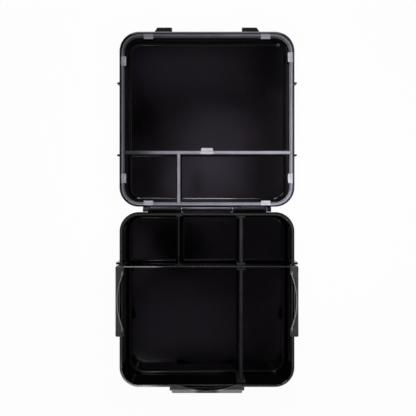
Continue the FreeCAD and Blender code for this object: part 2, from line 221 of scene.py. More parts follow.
# Hairline scuffs: thin bands kept of two families of stretched noise, broken up by a wide cloud.
# Mask = greater of the two bands * cloud * amount.
def makeScuffs():
    group, given, result = newGroup(
        "scuffs",
        [("Scale", "Float", 45.0), ("Amount", "Float", 0.5)],
        [("Mask", "Float")])
    where = objectPlace(group)
    lines = []
    for turn, stretch in scuffShape["families"]:
        mapping = group.nodes.new("ShaderNodeMapping")
        mapping.inputs["Rotation"].default_value = (0.0, 0.0, turn)
        mapping.inputs["Scale"].default_value = stretch
        group.links.new(where, mapping.inputs["Vector"])
        noise = noiseNode(group, mapping.outputs["Vector"], given.outputs["Scale"],
                          scuffShape["detail"], distortion=scuffShape["distortion"])
        away = mathNode(group, "ABSOLUTE", mathNode(group, "SUBTRACT", noise, 0.5))
        lines.append(rangeNode(group, away, 0.0, scuffShape["hairline"], 1.0, 0.0))
    cloud = noiseNode(group, where, scuffShape["cloudScale"], scuffShape["cloudDetail"])
    broken = smoothRange(group, cloud, scuffShape["noneBelow"], scuffShape["allAbove"])
    mask = product(group, mathNode(group, "MAXIMUM", *lines), broken, given.outputs["Amount"])
    group.links.new(mask, result.inputs["Mask"])
    return group


dustShape = dict(
    core=0.10, edge=0.20,      # a speck is full out to the core and gone at the edge, in cells
    keptScale=310.0, keptAbove=0.66, cloudScale=14.0, cloudDetail=2.0, noneBelow=0.40, allAbove=0.62,
)


# Settled dust: specks round cell middles, kept where a noise passes a level, thinned by a wide cloud.
# Mask = speck * kept * cloud * amount.
def makeDust():
    group, given, result = newGroup(
        "dust",
        [("Scale", "Float", 900.0), ("Amount", "Float", 0.5)],
        [("Mask", "Float")])
    where = objectPlace(group)
    cells = group.nodes.new("ShaderNodeTexVoronoi")
    group.links.new(where, cells.inputs["Vector"])
    group.links.new(given.outputs["Scale"], cells.inputs["Scale"])
    speck = rangeNode(group, cells.outputs["Distance"], dustShape["core"], dustShape["edge"], 1.0, 0.0)
    chosen = noiseNode(group, where, dustShape["keptScale"], detail=0.0)
    kept = mathNode(group, "GREATER_THAN", chosen, dustShape["keptAbove"])
    cloud = noiseNode(group, where, dustShape["cloudScale"], dustShape["cloudDetail"])
    wide = smoothRange(group, cloud, dustShape["noneBelow"], dustShape["allAbove"])
    group.links.new(product(group, speck, kept, wide, given.outputs["Amount"]), result.inputs["Mask"])
    return group


rubShape = dict(scale=120.0, detail=5.0, roughness=0.65, noneBelow=0.38, allAbove=0.60)


# Rub along a rim: mask = (1 between two heights, fading beyond) * (evenness + (1 - evenness) * noise).
def makeRimRub():
    group, given, result = newGroup(
        "rimRub",
        [("Bottom", "Float", 0.0), ("Top", "Float", 1.0), ("Fade", "Float", 0.0003),
         ("Evenness", "Float", 0.0)],
        [("Mask", "Float")])
    where = objectPlace(group)
    height = splitPlace(group, where)["Z"]
    low = mathNode(group, "SUBTRACT", given.outputs["Bottom"], given.outputs["Fade"])
    high = mathNode(group, "ADD", given.outputs["Top"], given.outputs["Fade"])
    above = smoothRange(group, height, low, given.outputs["Bottom"])
    below = smoothFall(group, height, given.outputs["Top"], high)
    patchy = noiseNode(group, where, rubShape["scale"], rubShape["detail"], rubShape["roughness"])
    patchy = smoothRange(group, patchy, rubShape["noneBelow"], rubShape["allAbove"])
    worn = rangeNode(group, patchy, 0.0, 1.0, given.outputs["Evenness"], 1.0)
    group.links.new(product(group, above, below, worn), result.inputs["Mask"])
    return group


colourDrift = makeColourDrift()
mouldSkin = makeMouldSkin()
scuffs = makeScuffs()
dust = makeDust()
rimRub = makeRimRub()
print("shared effects built")


# A zone of its own colour or roughness, most colour zones painting light or shade: 1 inside a soft-sided box,
# the product over x, y and z of a rise past the low side and a fall past the high one. A mirrored zone takes
# |x|, so it lies at both sides.
def zoneMask(tree, zone):
    split = splitPlace(tree, objectPlace(tree))
    x = mathNode(tree, "ABSOLUTE", split["X"]) if zone["mirrored"] else split["X"]
    factors = []
    for place, span in ((x, zone["x"]), (split["Y"], zone["y"]), (split["Z"], zone["z"])):
        factors += [smoothRange(tree, place, *span[:2]), smoothFall(tree, place, *span[2:])]
    return product(tree, *factors)


# The finish's drifting tone.
def addDrift(tree, look):
    return placeGroup(tree, colourDrift, {
        "Dark": (*look["dark"], 1), "Light": (*look["light"], 1), "Scale": look["driftScale"]})


# Mask of its scuffs or dust.
def wearMask(tree, group, look, kind):
    node = placeGroup(tree, group, {"Scale": look[kind + "Scale"], "Amount": look[kind + "Amount"]})
    return node.outputs["Mask"]


# Roughness between two values by the tone's cloud.
def cloudRough(tree, drift, look):
    return rangeNode(tree, drift.outputs["Cloud"], 0.0, 1.0, look["roughLow"], look["roughHigh"])


# Skin as a bump on the shader's normal.
def addSkin(tree, shader, look):
    skin = placeGroup(tree, mouldSkin, {
        "Swell Scale": look["swellScale"], "Grain Scale": look["grainScale"],
        "Swell": look["swell"], "Grain": look["grain"]})
    bump = tree.nodes.new("ShaderNodeBump")
    bump.inputs["Strength"].default_value = look["bumpStrength"]
    bump.inputs["Distance"].default_value = look["bumpDepth"]
    tree.links.new(skin.outputs["Height"], bump.inputs["Height"])
    tree.links.new(bump.outputs["Normal"], shader.inputs["Normal"])


# One moulded plastic: drifted colour with scuffs, the rubbed level, the zones (mostly painted light and
# shade) and dust over it in turn; roughness = cloud + wear, with the dull zones' own over it; bump from the
# skin.
def mouldedPlastic(name, look):
    material, tree, shader = newMaterial(name)
    drift = addDrift(tree, look)
    scuffed, dusty = wearMask(tree, scuffs, look, "scuff"), wearMask(tree, dust, look, "dust")
    bottom, top = look["rubLevel"]
    rim = placeGroup(tree, rimRub, {
        "Bottom": bottom, "Top": top, "Fade": look["rubFade"], "Evenness": look["rubEven"]})
    rub = product(tree, rim.outputs["Mask"], look["rubAmount"])
    colour = mixColour(tree, scuffed, drift.outputs["Color"], look["scuffColour"])
    colour = mixColour(tree, rub, colour, look["rubColour"])
    for zone in look["zones"]:
        colour = mixColour(tree, zoneMask(tree, zone), colour, zone["colour"])
    colour = mixColour(tree, dusty, colour, look["dustColour"])
    tree.links.new(colour, shader.inputs["Base Color"])
    wear = mathNode(tree, "MAXIMUM", mathNode(tree, "MAXIMUM", scuffed, rub), dusty)
    rough = mathNode(tree, "ADD", cloudRough(tree, drift, look), product(tree, wear, look["wearRough"]))
    for zone in look["dullZones"]:
        rough = rangeNode(tree, zoneMask(tree, zone), 0.0, 1.0, rough, zone["roughness"])
    tree.links.new(rough, shader.inputs["Roughness"])
    addSkin(tree, shader, look)
    shader.inputs["IOR"].default_value = look["ior"]
    return material


# Places along an axis, as steps from an edge.
def stepsFrom(edge, *steps):
    return tuple(edge + step for step in steps)


# A span about a middle: full within the inner step, gone past the outer one.
def evenSpan(middle, inner, outer):
    return stepsFrom(middle, -outer, -inner, inner, outer)


openings = {opening["name"]: opening["box_m"] for opening in frame["record"]["physics"]["openings"]}


# Middle of the wall between two openings: mean of the one's high side and the other's low side.
def wallBetween(nearer, farther, axis):
    return (openings[nearer][1][axis] + openings[farther][0][axis]) / 2


partitionY = wallBetween("front_left_compartment_along", "rear_left_compartment_along", 1)
shortX = wallBetween("rear_left_compartment_across", "rear_middle_compartment_across", 0)
leftWall = openings["front_left_compartment_across"][0][0]
rearWall = openings["rear_middle_compartment_along"][1][1]
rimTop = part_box("base_body")[1].z
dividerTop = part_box("divider_long")[1].z
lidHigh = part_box("lid_shell")[1]
pinLow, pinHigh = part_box("hinge_pin")
pinY, pinZ = (pinLow.y + pinHigh.y) / 2, (pinLow.z + pinHigh.z) / 2
latchLow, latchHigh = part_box("latch_front")
latchOut, latchTop = -latchLow.y, latchHigh.z

gloss = dict(
    dark=(0.0004, 0.0004, 0.0006), light=(0.0016, 0.0010, 0.0013), driftScale=16.0,
    scuffScale=45.0, scuffAmount=0.30, scuffColour=(0.020, 0.019, 0.022),
    dustScale=950.0, dustAmount=0.10, dustColour=(0.07, 0.07, 0.08),
    rubLevel=stepsFrom(rimTop, -0.0004, 0.0001), rubFade=0.0003, rubEven=0.70, rubAmount=0.8,
    rubColour=(0.019, 0.018, 0.020),
    zones=[
        dict(                            # the cross partition's top, with a painted highlight towards the left wall
            mirrored=False, x=stepsFrom(leftWall, -0.0076, 0.0004, 0.0324, 0.0524),
            y=evenSpan(partitionY, 0.0004, 0.0008), z=stepsFrom(rimTop, -0.0006, -0.0003, 0.0005, 0.0007),
            colour=(0.30, 0.29, 0.30)),
        dict(                            # the short partition's top, darker than the rubbed rims
            mirrored=False, x=evenSpan(shortX, 0.0014, 0.0018),
            y=stepsFrom(partitionY, 0.0008, 0.0020) + stepsFrom(rearWall, -0.0014, 0.0006),
            z=stepsFrom(rimTop, -0.0010, -0.0007, 0.0005, 0.0009), colour=(0.003, 0.003, 0.004)),
        dict(                            # the lid's front edge, with a painted highlight along it
            mirrored=False, x=evenSpan(0.0, 0.0900, 0.1040),
            y=stepsFrom(lidHigh.y, -0.0095, -0.0077, -0.0052, -0.0048),
            z=stepsFrom(lidHigh.z, -0.0044, -0.0038, -0.0028, -0.0022), colour=(0.15, 0.15, 0.16)),
        dict(                            # painted light on the two bosses in front of that edge
            mirrored=False, x=evenSpan(0.0, 0.0790, 0.0800),
            y=stepsFrom(lidHigh.y, -0.0045, -0.0041, 0.0005, 0.0007),
            z=stepsFrom(lidHigh.z, -0.0290, -0.0280, 0.0110, 0.0120), colour=(0.013, 0.013, 0.014)),
    ],
    dullZones=[
        dict(                            # the hinge's outer barrels, left dull by the mould
            mirrored=True, x=stepsFrom(pinHigh.x, -0.0460, -0.0456, -0.0057, -0.0052),
            y=stepsFrom(pinY, -0.0068, -0.0058, 0.0032, 0.0036),
            z=stepsFrom(pinZ, -0.0080, -0.0075, 0.0045, 0.0050), roughness=0.55),
    ],
    wearRough=0.05, roughLow=0.06, roughHigh=0.09,
    swellScale=30.0, grainScale=2600.0, swell=1.0, grain=0.05, bumpStrength=0.16, bumpDepth=0.0002, ior=1.49)

# The latches' finger notch and lip: along the latch, outward and up; the notch gets painted shade, the lip a
# painted highlight.
notchAlong = evenSpan(0.0, 0.0370, 0.0385)
notchOut = stepsFrom(latchOut, -0.0164, -0.0149, -0.0018, -0.0010)
notchUp = stepsFrom(latchTop, -0.0303, -0.0253, -0.0023, -0.0013)
notchShade = (0.002, 0.002, 0.003)
lipFront = stepsFrom(-latchOut, -0.0016, -0.0008, 0.0058, 0.0070)
lipUp = stepsFrom(latchTop, -0.0018, -0.0011, 0.0007, 0.0017)

satin = dict(
    dark=(0.034, 0.034, 0.037), light=(0.047, 0.047, 0.051), driftScale=60.0,
    scuffScale=70.0, scuffAmount=0.5, scuffColour=(0.060, 0.060, 0.064),
    dustScale=1100.0, dustAmount=0.10, dustColour=(0.12, 0.12, 0.13),
    rubLevel=stepsFrom(latchTop, -0.0025, -0.0018), rubFade=0.0005, rubEven=0.3, rubAmount=0.3,
    rubColour=(0.060, 0.060, 0.064), dullZones=[],
    zones=[
        dict(                            # painted shade inside the side latches' notches
            mirrored=True, x=notchOut, y=notchAlong, z=notchUp, colour=notchShade),
        dict(                            # painted shade inside the front latch's notch
            mirrored=False, x=notchAlong, y=tuple(-place for place in reversed(notchOut)), z=notchUp,
            colour=notchShade),
        dict(                            # painted highlight on the rounding round the notches of the two side latches
            mirrored=True, x=stepsFrom(latchOut, -0.0124, -0.0094, -0.0012, -0.0006),
            y=evenSpan(0.0, 0.0335, 0.0375), z=stepsFrom(latchTop, -0.0015, -0.0011, -0.00008, -0.00001),
            colour=(0.24, 0.24, 0.25)),
        dict(                            # and a painted highlight on the outer half of the front latch's lip
            mirrored=False, x=evenSpan(0.0, 0.0425, 0.0440), y=lipFront, z=lipUp, colour=(0.31, 0.31, 0.32)),
        dict(                            # but for its thin middle, where the notch is deepest and the latch keeps its own dark colour
            mirrored=False, x=evenSpan(0.0, 0.0090, 0.0170), y=lipFront, z=lipUp,
            colour=(0.040, 0.040, 0.044)),
    ],
    wearRough=0.12, roughLow=0.26, roughHigh=0.34,
    swellScale=70.0, grainScale=3200.0, swell=0.5, grain=0.25, bumpStrength=0.4, bumpDepth=0.0002, ior=1.50)

softGrey = dict(
    dark=(0.0085, 0.0085, 0.0105), light=(0.0130, 0.0130, 0.0160), driftScale=50.0,
    scuffScale=60.0, scuffAmount=0.4, scuffColour=(0.045, 0.045, 0.050),
    dustScale=1000.0, dustAmount=0.10, dustColour=(0.10, 0.10, 0.11),
    rubLevel=stepsFrom(dividerTop, -0.0006, 0.0001), rubFade=0.0004, rubEven=0.2, rubAmount=0.3,
    rubColour=(0.028, 0.028, 0.031), zones=[], dullZones=[],
    wearRough=0.12, roughLow=0.36, roughHigh=0.48,
    swellScale=60.0, grainScale=2800.0, swell=0.5, grain=0.35, bumpStrength=0.45, bumpDepth=0.0002, ior=1.48)

boxBlack = mouldedPlastic("boxBlack", gloss)
latchBlack = mouldedPlastic("latchBlack", satin)
dividerGrey = mouldedPlastic("dividerGrey", softGrey)


# Ground steel for the pins: drifted tone, roughness by the same cloud, and a very fine grain as bump.
def groundSteel(name, look):
    material, tree, shader = newMaterial(name)
    drift = addDrift(tree, look)
    tree.links.new(drift.outputs["Color"], shader.inputs["Base Color"])
    tree.links.new(cloudRough(tree, drift, look), shader.inputs["Roughness"])
    addSkin(tree, shader, look)
    shader.inputs["Metallic"].default_value = 1.0
    return material


pinSteel = groundSteel("pinSteel", dict(
    dark=(0.42, 0.42, 0.43), light=(0.60, 0.60, 0.61), driftScale=400.0, roughLow=0.24, roughHigh=0.36,
    swellScale=900.0, grainScale=6000.0, swell=0.6, grain=0.4, bumpStrength=0.25, bumpDepth=0.00005))

low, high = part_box("lid_seal")
sealMiddle = np.array([(low.x + high.x) / 2, (low.y + high.y) / 2])
sealHalf = np.array([(high.x - low.x) / 2, (high.y - low.y) / 2])


# Soft rubber: colour = mix(deep, drifted and dusty, across * ahead * tone), deep being the colour of full
# painted shade. Across is painted shade falling towards the left, ahead painted shade near the lid's front,
# tone the piece's own attribute of painted light and shade. Then a matte bloom and a fine skin.
def softRubber(name, look):
    material, tree, shader = newMaterial(name)
    drift = addDrift(tree, look)
    split = splitPlace(tree, objectPlace(tree))
    across = rangeNode(tree, split["X"], -sealHalf[0], sealHalf[0], look["leftShade"], 1.0)
    ahead = smoothRange(tree, split["Y"], high.y - look["frontRun"], high.y, 1.0, look["frontShade"])
    tone = tree.nodes.new("ShaderNodeAttribute")
    tone.attribute_name = "tone"
    shade = product(tree, across, ahead, tone.outputs["Fac"])
    dusty = wearMask(tree, dust, look, "dust")
    colour = mixColour(tree, dusty, drift.outputs["Color"], look["dustColour"])
    tree.links.new(mixColour(tree, shade, look["deep"], colour), shader.inputs["Base Color"])
    tree.links.new(cloudRough(tree, drift, look), shader.inputs["Roughness"])
    addSkin(tree, shader, look)
    shader.inputs["Sheen Weight"].default_value = look["sheen"]
    shader.inputs["Sheen Roughness"].default_value = look["sheenRough"]
    shader.inputs["IOR"].default_value = look["ior"]
    return material


stripRubber = softRubber("stripRubber", dict(
    dark=(0.285, 0.283, 0.345), light=(0.340, 0.338, 0.405), deep=(0.008, 0.008, 0.011), driftScale=60.0,
    leftShade=0.60, frontShade=0.90, frontRun=0.04,
    dustScale=1300.0, dustAmount=0.25, dustColour=(0.50, 0.49, 0.50), roughLow=0.36, roughHigh=0.46,
    swellScale=120.0, grainScale=3600.0, swell=0.4, grain=0.5, bumpStrength=0.3, bumpDepth=0.0001,
    sheen=0.05, sheenRough=0.5, ior=1.42))
tabRubber = softRubber("tabRubber", dict(
    dark=(0.495, 0.495, 0.555), light=(0.575, 0.575, 0.635), deep=(0.10, 0.10, 0.12), driftScale=120.0,
    leftShade=0.56, frontShade=0.76, frontRun=0.04,
    dustScale=1300.0, dustAmount=0.3, dustColour=(0.70, 0.69, 0.70), roughLow=0.45, roughHigh=0.58,
    swellScale=220.0, grainScale=3600.0, swell=0.5, grain=0.5, bumpStrength=0.4, bumpDepth=0.00012,
    sheen=0.08, sheenRough=0.5, ior=1.42))


# Gives every slot of the named pieces one finish.
def dress(nodeNames, material):
    for name in nodeNames:
        slots = nodes[name].material_slots
        for slot in slots:
            slot.material = material
        if not slots:
            nodes[name].data.materials.append(material)


dress(["base_body", "lid_shell"], boxBlack)
dress(["latch_front", "latch_left", "latch_right"], latchBlack)
dress(["divider_long", "divider_short"], dividerGrey)
dress(["hinge_pin", "latch_pin_front", "latch_pin_left", "latch_pin_right"], pinSteel)
print("finishes on the moulded pieces")


gasket = dict(
    width=0.0040,            # strip, across
    cornerRadius=0.0224,     # of its outer edge in plan
    channelIn=0.00115,       # from the strip's side to the slot that takes the lid's rib
    channelUp=0.0026,        # roof of that slot above the strip's foot
    crownDrop=0.00008,       # strip's crest under the tabs' tops
    lean=0.00045,            # how far the crest falls towards the strip's inner side
    shoulder=0.0007,         # how far the sides fall at the strip's rounded shoulders
    shoulderFrom=0.72,       # share of the half width where its finer steps begin
    sectionSteps=(6, 15),    # points on each shoulder, and between them
    valley=0.00012,          # groove between the two sealing beads
    valleyHalf=0.48,         # its half width, as a share of the strip's
    sway=0.00004,            # slow sideways wander of the soft strip
    swayWaves=(13, 5),       # waves round the ring
    swayStart=0.7,
    lift=0.00003,            # slow rise and fall of its crest
    liftWaves=(17, 4),
    liftStart=0.4,
    straightTurn=2,          # a straight strip runs through this much of the waves' turn
    toneLost=0.70,           # painted shade on the ring's inner side, as a share of its painted light, on average
    toneTurn=0.12,           # and how much more at the front left than at the rear right
    toneSpan=(-0.75, 0.80),  # where across the strip, -1 outside to 1 inside, it begins and is full
    crossFromMiddle=-0.0405,     # cross strip's centre line, from the gasket's middle
    shortAt=-0.0350,         # short strip's centre line
    sunk=0.00003,            # the straight strips lie a hair lower than the ring
    edgeLost=0.4,            # painted shade at their edges, as a share of their painted light
    intoRing=0.8,            # they end this share of the width inside the ring's outer edge
    intoCross=0.3,           # and the short one starts this share from the cross strip's centre line
    crossFaded=(0.10, 0.012, 0.055),     # painted shade at the cross strip's left end: its tone there, and where it clears
    stations=360,
    crossStations=150,
    shortStations=44,
)

tabs = dict(
    length=0.0120, tipShare=0.97, reach=0.0018, thickness=0.0016, fromMiddle=0.0725,
    wideLength=0.0168, wideTop=0.0140, wideReach=0.0034,
    inset=0.00012,                                       # how far a tab's root lies inside the strip's edge
    grooveAt=0.46, grooveHalf=0.075, grooveDepth=0.00045,    # the crease where the tab leaves the strip
    ribs=9, ribHeight=0.00014, ribEase=0.1,              # fine grip ribs on the middle tab
    edgeRound=0.0005, endTurn=80, endDrop=0.6,           # rounding of the ends, and how far they drop with it
    creaseLost=0.30, underTone=0.6,                      # painted shade in the crease, and the painted light kept underneath
    loopSteps=33, underSteps=6, endSteps=7, stepsPerRib=10, sharpAngle=55.0,
    shifted=0.0050,                                      # the front tab on the right, further from the hinge
)


# Faces turned outwards: the sum of (face centre - middle) . (area normal) is then positive.
def facingOut(points, faces):
    a, b, c, d = (points[faces[:, k]] for k in range(4))
    normal = np.cross(c - a, d - b) / 2
    centre = (a + b + c + d) / 4 - points.mean(0)
    return faces if (centre * normal).sum() > 0 else faces[:, ::-1]


# Numbers of a grid's points, and the four-sided faces between them. Columns close, rows may stay open.
def gridQuads(rows, columns, closedRows):
    index = np.arange(rows * columns).reshape(rows, columns)
    across = np.roll(index, -1, axis=1)
    corners = [index, across, np.roll(across, -1, axis=0), np.roll(index, -1, axis=0)]
    if not closedRows:
        corners = [corner[:-1] for corner in corners]
    return index, np.stack(corners, -1).reshape(-1, 4)


# Smooth-shaded object from points and faces.
def newPiece(name, points, faces):
    mesh = bpy.data.meshes.new(name)
    mesh.from_pydata(points.tolist(), [], faces)
    mesh.polygons.foreach_set("use_smooth", np.ones(len(faces), bool))
    mesh.update()
    return addObject(name, mesh)


# Piece from one grid of points, with flat caps on open rows and edges sharp past an angle. The tone of each
# point, its painted light from 0, full painted shade, to 1, full painted light, is kept as an attribute for
# the rubber.
def gridMesh(name, grid, tone, material, closedRows, sharpAngle=42.0):
    rows, columns = grid.shape[:2]
    points = grid.reshape(-1, 3)
    index, quads = gridQuads(rows, columns, closedRows)
    turned = facingOut(points, quads)
    faces = turned.tolist()
    if not closedRows:
        flipped = turned is not quads
        first, last = index[0], index[-1]
        faces.append((first if flipped else first[::-1]).tolist())
        faces.append((last[::-1] if flipped else last).tolist())
    piece = newPiece(name, points, faces)
    piece.data.set_sharp_from_angle(angle=math.radians(sharpAngle))
    shade = piece.data.attributes.new("tone", "FLOAT", "POINT")
    shade.data.foreach_set("value", np.broadcast_to(tone, (rows, columns)).astype(np.float32).ravel())
    piece.data.materials.append(material)
    return piece


# Eased rise from 0 to 1: 3 t^2 - 2 t^3.
def eased(t):
    t = np.clip(t, 0, 1)
    return t * t * (3 - 2 * t)


# The strip's section as (across, up) pairs, with w from -1 outside to 1 inside:
# up = crest - lean * (w + 1) / 2 - shoulder * |w|^8 - valley * (1 - (w / half)^2)^2, then down the sides and
# round the slot for the lid's rib. Also gives w for every pair.
def stripSection(crest, lean):
    edge, width = gasket["shoulderFrom"], gasket["width"]
    fine, wide = gasket["sectionSteps"]
    w = np.concatenate([
        np.linspace(-1, -edge, fine)[:-1], np.linspace(-edge, edge, wide), np.linspace(edge, 1, fine)[1:]])
    groove = np.clip(1 - (w / gasket["valleyHalf"]) ** 2, 0, None) ** 2
    up = crest - lean * (w + 1) / 2 - gasket["shoulder"] * np.abs(w) ** 8 - gasket["valley"] * groove
    across = (w + 1) / 2 * width
    a, b, roof = gasket["channelIn"], width - gasket["channelIn"], gasket["channelUp"]
    foot = np.array([(width, 0.0), (b, 0.0), (b, roof), (a, roof), (a, 0.0), (0.0, 0.0)])
    pairs = np.concatenate([np.stack([across, up], -1), foot])
    return pairs, np.concatenate([w, foot[:, 0] / width * 2 - 1])


# Carries the section along a path: point = path + inward * (across + shift), height = foot + up +
# rise * crown. Shift = sway * (1 + sin * cos) / 2, rise = lift * (sin * cos - 1), crown = (up / highest)^2.
def carrySection(path, inward, turn, section, sway):
    a, b = gasket["swayWaves"]
    c, d = gasket["liftWaves"]
    shift = sway * (0.5 + 0.5 * np.sin(a * turn + gasket["swayStart"]) * np.cos(b * turn))
    rise = gasket["lift"] * (np.sin(c * turn) * np.cos(d * turn + gasket["liftStart"]) - 1)
    crown = np.clip(section[:, 1] / section[:, 1].max(), 0, 1) ** 2
    flat = path[:, None, :] + inward[:, None, :] * (section[None, :, 0:1] + shift[:, None, None])
    up = low.z + section[None, :, 1] + rise[:, None] * crown[None, :]
    return np.concatenate([flat, up[:, :, None]], -1)


# Rounded square walked once round at even steps, with the inward normal: each part starts from a corner's
# centre, a straight run goes ahead and a quarter circle turns with along / radius.
def roundedSquare(middle, half, radius, count):
    runX, runY = 2 * (half[0] - radius), 2 * (half[1] - radius)
    arc = radius * math.pi / 2
    lengths = np.array([runX, arc, runY, arc] * 2)
    ends = np.cumsum(lengths)
    distance = np.arange(count) / count * ends[-1]
    part = np.searchsorted(ends, distance, side="right")
    along = distance - (ends[part] - lengths[part])
    start = np.array([[-1, -1], [1, -1], [1, -1], [1, 1], [1, 1], [-1, 1], [-1, 1], [-1, -1]], float)
    heading = np.array([0, 0, 1, 1, 2, 2, 3, 3]) * math.pi / 2
    angle = heading[part] + np.where(part % 2 == 1, along / radius, 0.0)
    ahead = np.stack([np.cos(angle), np.sin(angle)], -1)
    inward = np.stack([-np.sin(angle), np.cos(angle)], -1)
    centre = middle + start[part] * (np.asarray(half) - radius)
    onArc = centre - inward * radius
    travel = np.where(part % 2 == 0, along, 0.0)[:, None]
    return onArc + ahead * travel, inward, distance / ends[-1] * 2 * math.pi


# The ring's painted light: tone = 1 - lost * eased rise of w over the span, lost, the painted shade, most
# where inwards is right or hingewards.
crest = high.z - low.z - gasket["crownDrop"]
section, acrossRing = stripSection(crest, gasket["lean"])
path, inward, turn = roundedSquare(sealMiddle, sealHalf, gasket["cornerRadius"], gasket["stations"])
lost = gasket["toneLost"] + gasket["toneTurn"] * (inward[:, 0] - inward[:, 1])
spanStart, spanEnd = gasket["toneSpan"]
ringPaintedLight = 1 - lost[:, None] * eased((acrossRing - spanStart) / (spanEnd - spanStart))[None, :]
ring = carrySection(path, inward, turn, section, gasket["sway"])
sealPieces = [gridMesh("gasket_ring", ring, ringPaintedLight, stripRubber, True)]


# A straight strip between two points, the same section about its centre line and not leaning; its painted
# light tone = along * (1 - edge loss * |w|^3), with painted shade towards its edges.
def straightStrip(name, start, end, count, alongPaintedLight):
    start, end = np.array(start), np.array(end)
    ahead = (end - start) / np.linalg.norm(end - start)
    side = np.array([-ahead[1], ahead[0]])
    t = np.linspace(0, 1, count)
    path = start + (end - start) * t[:, None] - side * gasket["width"] / 2
    level, w = stripSection(crest, 0.0)
    turn = t * gasket["straightTurn"]
    grid = carrySection(path, np.broadcast_to(side, path.shape), turn, level, 0.0)
    grid[..., 2] -= gasket["sunk"]
    tone = alongPaintedLight(t)[:, None] * (1 - gasket["edgeLost"] * np.abs(w) ** 3)[None, :]
    return gridMesh(name, grid, tone, stripRubber, False)


crossY = sealMiddle[1] + gasket["crossFromMiddle"]
endIn = sealHalf[0] - gasket["width"] * gasket["intoRing"]


# The cross strip's painted shade at its left end clears: tone = start + (1 - start) * eased rise.
def crossPaintedLight(t):
    start, near, far = gasket["crossFaded"]
    return start + (1 - start) * eased((t * 2 * endIn - near) / (far - near))


sealPieces.append(straightStrip(
    "gasket_cross", (-endIn, crossY), (endIn, crossY), gasket["crossStations"], crossPaintedLight))
rearY = sealMiddle[1] - sealHalf[1] + gasket["width"] * gasket["intoRing"]
sealPieces.append(straightStrip(
    "gasket_short", (gasket["shortAt"], crossY - gasket["width"] * gasket["intoCross"]),
    (gasket["shortAt"], rearY), gasket["shortStations"], np.ones_like))


# Pull tab as a closed loop carried along the strip. The loop runs over the top from the outer side to the
# tip and back underneath; top = full height - crease * (1 - (t / half)^2)^2 - lip - rib * (1 - cos) / 2. The
# lip is the quarter round at the tip. The ends are drawn in by r * (1 - cos) and drop with it, and the sides
# close in towards the tip.
def tabPad(name, middle, outDirection, length, depth, tipLength, ribs):
    r = tabs["edgeRound"]
    turnIn = np.linspace(0, math.radians(tabs["endTurn"]), tabs["endSteps"])
    ends = length / 2 - r + r * np.sin(turnIn)
    straight = np.linspace(-(length / 2 - r), length / 2 - r, tabs["stepsPerRib"] * max(ribs, 2) + 1)
    along = np.concatenate([-ends[:0:-1], straight, ends[1:]])
    drawIn = r * (1 - np.cos(turnIn))
    drawn = np.concatenate([drawIn[:0:-1], 0 * straight, drawIn[1:]])
    t = np.linspace(0, 1, tabs["loopSteps"])
    crease = np.clip(1 - ((t - tabs["grooveAt"]) / tabs["grooveHalf"]) ** 2, 0, None) ** 2
    nearTip = np.clip(1 - (1 - t) * depth / r, 0, 1)
    lip = r * (1 - np.sqrt(np.clip(1 - nearTip ** 2, 0, 1)))
    wave = (1 - np.cos(2 * math.pi * ribs * (straight / length + 0.5))) / 2
    wave = np.pad(wave, len(ends) - 1)
    pastCrease = np.clip((t - tabs["grooveAt"] - tabs["grooveHalf"]) / tabs["ribEase"], 0, 1)
    ribbed = pastCrease * np.clip((1 - t) / tabs["ribEase"], 0, 1)
    dropped = tabs["endDrop"] * drawn[:, None]
    top = (high.z - tabs["grooveDepth"] * crease - lip)[None, :] - dropped
    top = top - tabs["ribHeight"] * wave[:, None] * ribbed[None, :]
    under = np.linspace(1, 0, tabs["underSteps"])
    bottom = np.broadcast_to(high.z - tabs["thickness"] + dropped, (len(along), len(under)))
    out = np.concatenate([t, under])[None, :] * (depth - drawn[:, None])
    sides = along[:, None] * (1 + (tipLength / length - 1) * out / depth)
    ahead = np.array([outDirection[1], -outDirection[0]], float)
    flat = np.array(middle) + sides[..., None] * ahead + out[..., None] * np.array(outDirection, float)
    grid = np.concatenate([flat, np.concatenate([top, bottom], 1)[..., None]], -1)
    # Painted light of the tab: painted shade in the crease and underneath.
    tone = np.concatenate([1 - tabs["creaseLost"] * crease, np.full(len(under), tabs["underTone"])])
    return gridMesh(name, grid, tone[None, :], tabRubber, False, tabs["sharpAngle"])


inset = tabs["inset"]
sides = {
    "front": ((0, 1), (0, -1)), "rear": ((0, -1), (0, 1)),
    "left": ((-1, 0), (1, 0)), "right": ((1, 0), (-1, 0)),
}
for side, (place, direction) in sides.items():
    place, direction = np.array(place, float), np.array(direction, float)
    tangent = np.abs(direction[::-1])
    for sign in (-1, 1):
        step = tabs["fromMiddle"] * sign + (tabs["shifted"] if side == "right" and sign == 1 else 0.0)
        middle = sealMiddle + place * (sealHalf - inset) + tangent * step
        label = "%s_%s" % (side, "low" if sign < 0 else "high")
        sealPieces.append(tabPad(
            "gasket_tab_" + label, middle, direction, tabs["length"],
            gasket["width"] + tabs["reach"] - inset, tabs["length"] * tabs["tipShare"], 0))
sealPieces.append(tabPad(
    "gasket_tab_middle", (sealMiddle[0], crossY - gasket["width"] / 2 + inset), (0, 1),
    tabs["wideLength"], gasket["width"] + tabs["wideReach"], tabs["wideTop"], tabs["ribs"]))

for piece in sealPieces:
    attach(piece, "lid")
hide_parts("lid_seal")
print("gasket built,", len(sealPieces), "pieces")


studio = dict(
    floorSize=4.0, coveRadius=0.8, wallHeight=1.9,
    flatRadii=(0.02, 0.3, 0.7, 1.2, 2.0, 2.8), coveSteps=17, turns=96,
    floorColour=(0.93, 0.93, 0.93), glowRun=(0.35, 1.6), glow=(0.965, 1.0),    # near and far from the middle
    mirrorTop=(0.45, 0.85),      # gloss sees the paper glow only up to this height of the wall
    knuckleEnd=(0.0314, 0.0326),     # half width of the middle knuckle
    hingeSlits=(-0.0030, 0.0031),    # from pin to the slit that shows floor: at that knuckle, beside it
    hingeShade=(0.0011, 0.0026),     # half width of the deep shadow under a slit, and where it ends
    shadeEnds=(-0.001173, 0.0012),   # from the pin's end to where that shadow begins to fade and is gone
)


